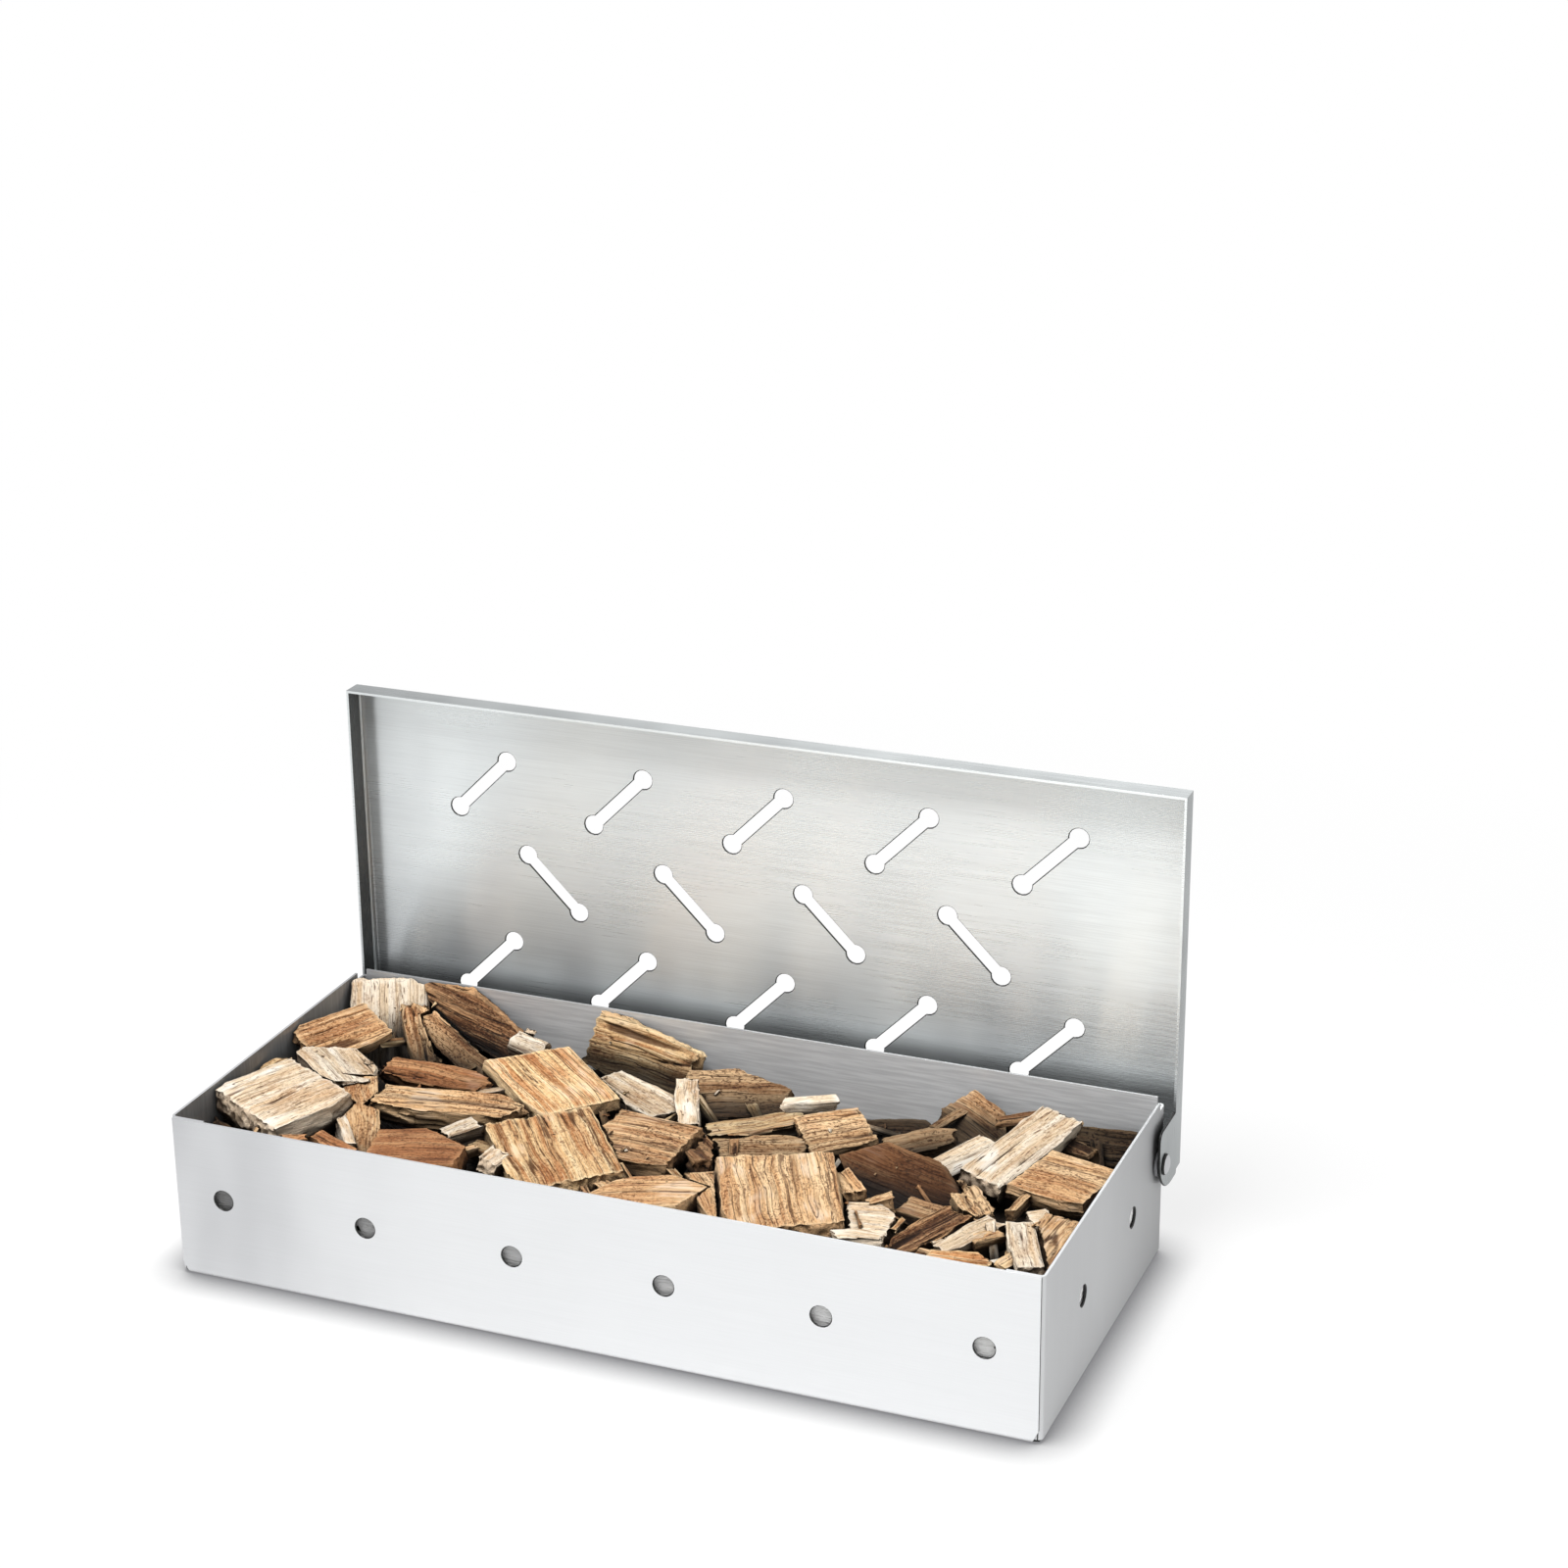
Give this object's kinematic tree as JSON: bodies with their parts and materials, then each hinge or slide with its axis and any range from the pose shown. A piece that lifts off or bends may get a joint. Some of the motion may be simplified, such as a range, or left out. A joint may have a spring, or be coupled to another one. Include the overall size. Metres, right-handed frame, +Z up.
{
  "type": "grill smoker box",
  "caption": "Open-topped folded sheet-steel tray with air holes, a vent-slotted lid hinged at the back and standing open, and a loose fill of wood chips.",
  "frame": {"origin": "centre of the tray's underside, on the surface that the box stands on", "axes": "+Z up out of the open tray, +X along the box towards its right end seen from the front, +Y to the back where the lid is hinged"},
  "size_m": [0.2268, 0.1063, 0.1181],
  "materials": {
    "tray_steel": "bright satin stainless sheet",
    "lid_steel": "stainless sheet brushed along its length",
    "rivet_steel": "plain turned steel",
    "washer_steel": "plain pressed steel",
    "wood_pale": "dry split sapwood, pale cream",
    "wood_straw": "dry split wood, straw yellow with darker stripes",
    "wood_tan": "dry split wood, tan with dark pores",
    "wood_brown": "dry split wood, mid brown",
    "wood_russet": "smooth red-brown inner bark",
    "wood_dark": "dark ridged bark"
  },
  "bodies": {
    "tray_body": {"tray": "tray_steel", "hinge_rivet_left": "rivet_steel", "hinge_rivet_right": "rivet_steel", "spacer_washer_left": "washer_steel", "spacer_washer_right": "washer_steel", "wood_chip_01": "wood_pale", "wood_chip_02": "wood_straw", "wood_chip_03": "wood_tan", "wood_chip_04": "wood_pale", "wood_chip_05": "wood_tan", "wood_chip_06": "wood_russet", "wood_chip_07": "wood_tan", "wood_chip_08": "wood_tan", "wood_chip_09": "wood_straw", "wood_chip_10": "wood_pale", "wood_chip_11": "wood_tan", "wood_chip_12": "wood_pale", "wood_chip_13": "wood_dark", "wood_chip_14": "wood_brown", "wood_chip_15": "wood_straw", "wood_chip_16": "wood_tan", "wood_chip_17": "wood_russet", "wood_chip_18": "wood_russet", "wood_chip_19": "wood_pale", "wood_chip_20": "wood_brown", "wood_chip_21": "wood_tan", "wood_chip_22": "wood_tan", "wood_chip_23": "wood_dark", "wood_chip_24": "wood_pale", "wood_chip_25": "wood_brown", "wood_chip_26": "wood_straw", "wood_chip_27": "wood_tan", "wood_chip_28": "wood_tan", "wood_chip_29": "wood_brown", "wood_chip_30": "wood_brown", "wood_chip_31": "wood_pale", "wood_chip_32": "wood_dark", "wood_chip_33": "wood_pale", "wood_chip_34": "wood_pale", "wood_chip_35": "wood_brown", "wood_chip_36": "wood_brown", "wood_chip_37": "wood_tan", "wood_chip_38": "wood_pale", "wood_chip_39": "wood_tan", "wood_chip_40": "wood_straw", "wood_chip_41": "wood_straw", "wood_chip_42": "wood_brown", "wood_chunk_01": "wood_tan", "wood_chunk_02": "wood_brown", "wood_chunk_03": "wood_tan", "wood_chunk_04": "wood_russet", "wood_chunk_05": "wood_brown", "wood_chunk_06": "wood_straw", "wood_chunk_07": "wood_brown", "wood_chunk_08": "wood_tan", "wood_chunk_09": "wood_russet", "wood_chunk_10": "wood_tan", "wood_chunk_11": "wood_brown", "wood_chunk_12": "wood_tan"},
    "lid_body": {"lid": "lid_steel"}
  },
  "joints": [
    {"name": "lid_hinge", "type": "hinge", "parent": "tray_body", "child": "lid_body", "pos_m": [0, 0.0415, 0.027], "axis": [1, 0, 0], "range_deg": [0, 90.7]}
  ]
}
